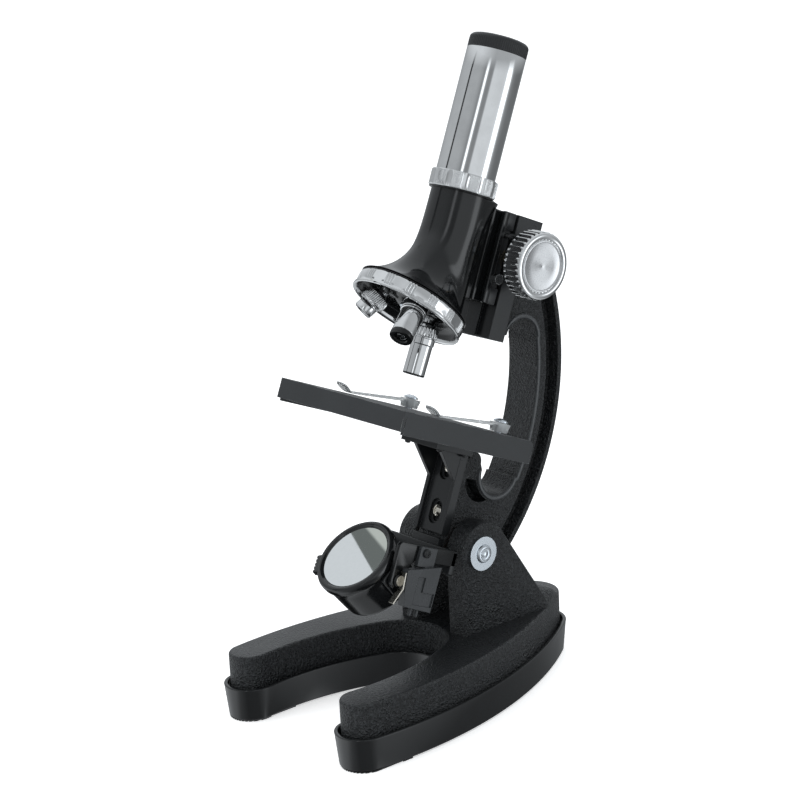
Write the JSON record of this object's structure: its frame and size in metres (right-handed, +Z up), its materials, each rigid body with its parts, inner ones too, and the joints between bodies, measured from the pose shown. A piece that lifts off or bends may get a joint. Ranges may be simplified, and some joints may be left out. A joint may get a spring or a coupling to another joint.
{
  "type": "microscope",
  "caption": "Student microscope with horseshoe base, tilting arm, rack-and-pinion focus knobs, objective turret, chrome eyepiece tube, slide stage with clips and a flip mirror and lamp drum.",
  "frame": {"origin": "on the foot plane, straight below the tilt pivot", "axes": "+Z up; -Y to the open front of the horseshoe, where the user's slide and mirror are; +X to the side of the lamp contact block"},
  "size_m": [0.0956, 0.1513, 0.2687],
  "materials": {
    "cast_paint": "fine crinkle-textured black-grey paint on die casting",
    "gloss_black": "glossy moulded black plastic",
    "satin_black": "satin moulded black plastic",
    "stage_paint": "smooth satin dark grey paint on folded sheet steel, bright along the folds",
    "chrome": "mirror-bright chrome plating",
    "spun_aluminium": "radially spun bright aluminium",
    "zinc_steel": "zinc-plated steel with a cool tint",
    "brass": "satin brass",
    "nickel": "nickel-plated spring steel",
    "clear_clip": "clear moulded plastic",
    "switch_plastic": "semi-gloss purplish grey plastic",
    "lens_glass": "clear coated glass",
    "window": "frosted clear plastic",
    "mirror_glass": "silvered glass mirror",
    "bulb_glass": "small glass bulb",
    "holder_white": "white plastic",
    "rubber": "soft black rubber",
    "fibre": "red-brown vulcanised fibre",
    "cell_jacket": "printed steel cell jacket, plain"
  },
  "bodies": {
    "base": {"base_casting": "cast_paint", "base_tray": "gloss_black", "battery_door": "satin_black", "door_screw": "zinc_steel", "battery_front": "cell_jacket", "battery_rear": "cell_jacket", "battery_springs": "nickel", "battery_contacts": "nickel", "foot_pads": "rubber", "base_screws": "zinc_steel", "pivot_bolt": "zinc_steel", "pivot_washers": "zinc_steel"},
    "arm": {"arm_casting": "cast_paint", "friction_washers": "fibre", "focus_block": "gloss_black", "block_screws": "zinc_steel", "pinion_bushes": "brass", "stage_bracket": "satin_black", "bracket_screws": "nickel", "stage_plate": "stage_paint", "stage_screws": "satin_black", "clip_screws": "zinc_steel", "lamp_yoke": "satin_black", "yoke_screws": "zinc_steel", "contact_block": "switch_plastic", "contact_leaf": "nickel"},
    "right_clip": {"clip_right": "clear_clip"},
    "left_clip": {"clip_left": "clear_clip"},
    "focus_drive": {"pinion_shaft": "zinc_steel", "pinion_gear": "brass", "knob_left": "chrome", "knob_right": "chrome", "knob_disc_left": "spun_aluminium", "knob_disc_right": "spun_aluminium"},
    "tube": {"tube_housing": "gloss_black", "focus_rack": "brass", "gib_screws": "zinc_steel", "coin_ring": "chrome", "draw_tube": "chrome", "eyepiece": "satin_black", "eye_lens": "lens_glass", "field_lens": "lens_glass", "turret_screw": "zinc_steel", "detent_ball": "zinc_steel"},
    "turret": {"turret_ring": "chrome", "turret_dish": "satin_black", "objective_long": "chrome", "objective_medium": "chrome", "objective_short": "chrome", "objective_lenses": "lens_glass"},
    "drum": {"drum_shell": "gloss_black", "drum_mirror": "mirror_glass", "drum_window": "window", "lamp_bulb": "bulb_glass", "lamp_holder": "holder_white", "drum_contact": "nickel"}
  },
  "joints": [
    {"name": "arm_tilt", "type": "hinge", "parent": "base", "child": "arm", "pos_m": [0, 0, 0.0613], "axis": [-1, 0, 0], "range_deg": [-22.6, 22.3]},
    {"name": "focus_slide", "type": "slide", "parent": "arm", "child": "tube", "axis": [0, 0.3856, 0.9227], "range_m": [-0.0125, 0.012]},
    {"name": "focus_knob", "type": "hinge", "parent": "arm", "child": "focus_drive", "pos_m": [0, 0.03116, 0.17669], "axis": [-1, 0, 0], "range_deg": [-160, 153.5]},
    {"name": "turret_turn", "type": "hinge", "parent": "tube", "child": "turret", "pos_m": [0, -0.01806, 0.16268], "axis": [0, 0.6843, 0.7292], "continuous": true},
    {"name": "right_clip_swing", "type": "hinge", "parent": "arm", "child": "right_clip", "pos_m": [0.02736, 0.00543, 0.11539], "axis": [0, 0.3856, 0.9227], "range_deg": [-25, 90]},
    {"name": "left_clip_swing", "type": "hinge", "parent": "arm", "child": "left_clip", "pos_m": [-0.02736, 0.00543, 0.11539], "axis": [0, 0.3856, 0.9227], "range_deg": [-90, 25]},
    {"name": "drum_flip", "type": "hinge", "parent": "arm", "child": "drum", "pos_m": [0, -0.04561, 0.06237], "axis": [1, 0, 0], "range_deg": [-100, 122]}
  ],
  "couplings": [
    {"joint": "focus_knob", "follows": "focus_slide", "rad_per_m": 222.22}
  ]
}
